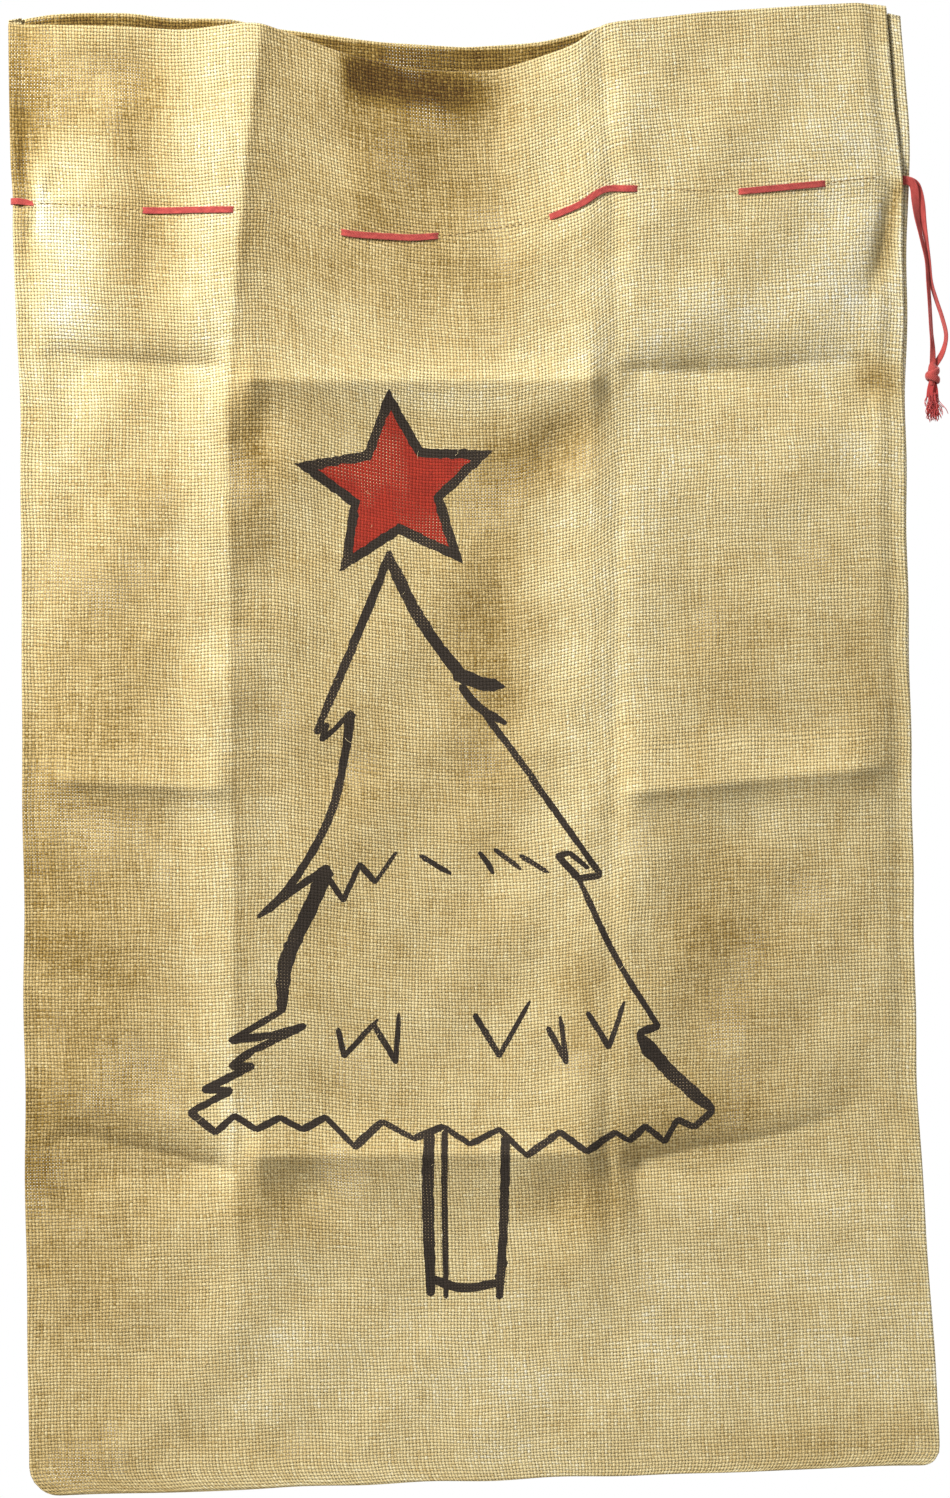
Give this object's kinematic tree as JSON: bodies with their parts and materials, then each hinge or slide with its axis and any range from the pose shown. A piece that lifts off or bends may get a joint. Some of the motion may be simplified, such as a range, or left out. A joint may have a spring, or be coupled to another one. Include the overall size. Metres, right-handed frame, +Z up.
{
  "type": "fabric gift sack",
  "caption": "Flat jute gift sack with an open mouth, a turned-in hem, and a red cotton tape drawstring threaded through the cloth and knotted at one side seam.",
  "frame": {"origin": "midway between the two top corners that the sack hangs from, in the plane of the side seams", "axes": "+Z up along the height of the sack, +X along the mouth towards the knotted end of the drawstring, -Y out of the printed front"},
  "size_m": [0.622, 0.0498, 0.985],
  "materials": {
    "jute_cloth": "coarse plain weave, matte, with a screen-printed front",
    "sewing_thread": "twisted jute-coloured thread",
    "cotton_tape": "woven cotton tape, matte"
  },
  "bodies": {
    "sack": {"front_panel": "jute_cloth", "back_panel": "jute_cloth", "front_hem": "jute_cloth", "back_hem": "jute_cloth", "left_seam_thread": "sewing_thread", "right_seam_thread": "sewing_thread", "bottom_seam_thread": "sewing_thread", "front_hem_thread": "sewing_thread", "back_hem_thread": "sewing_thread", "drawstring_run": "cotton_tape"},
    "pull_end": {"drawstring_stub": "cotton_tape"},
    "hanging_end": {"drawstring_left_strand": "cotton_tape", "drawstring_right_strand": "cotton_tape"},
    "knot_end": {"drawstring_knot": "cotton_tape", "drawstring_tassel": "cotton_tape"}
  },
  "joints": [
    {"name": "drawstring_pull", "type": "slide", "parent": "sack", "child": "pull_end", "axis": [1, 0, 0], "range_m": [0, 0.04]},
    {"name": "drawstring_swing", "type": "hinge", "parent": "pull_end", "child": "hanging_end", "pos_m": [0.291, 0, -0.117], "axis": [0, -1, 0], "range_deg": [0, 95]},
    {"name": "knot_swing", "type": "hinge", "parent": "hanging_end", "child": "knot_end", "pos_m": [0.302, 0, -0.2392], "axis": [1, 0, 0], "range_deg": [-40, 40]}
  ]
}
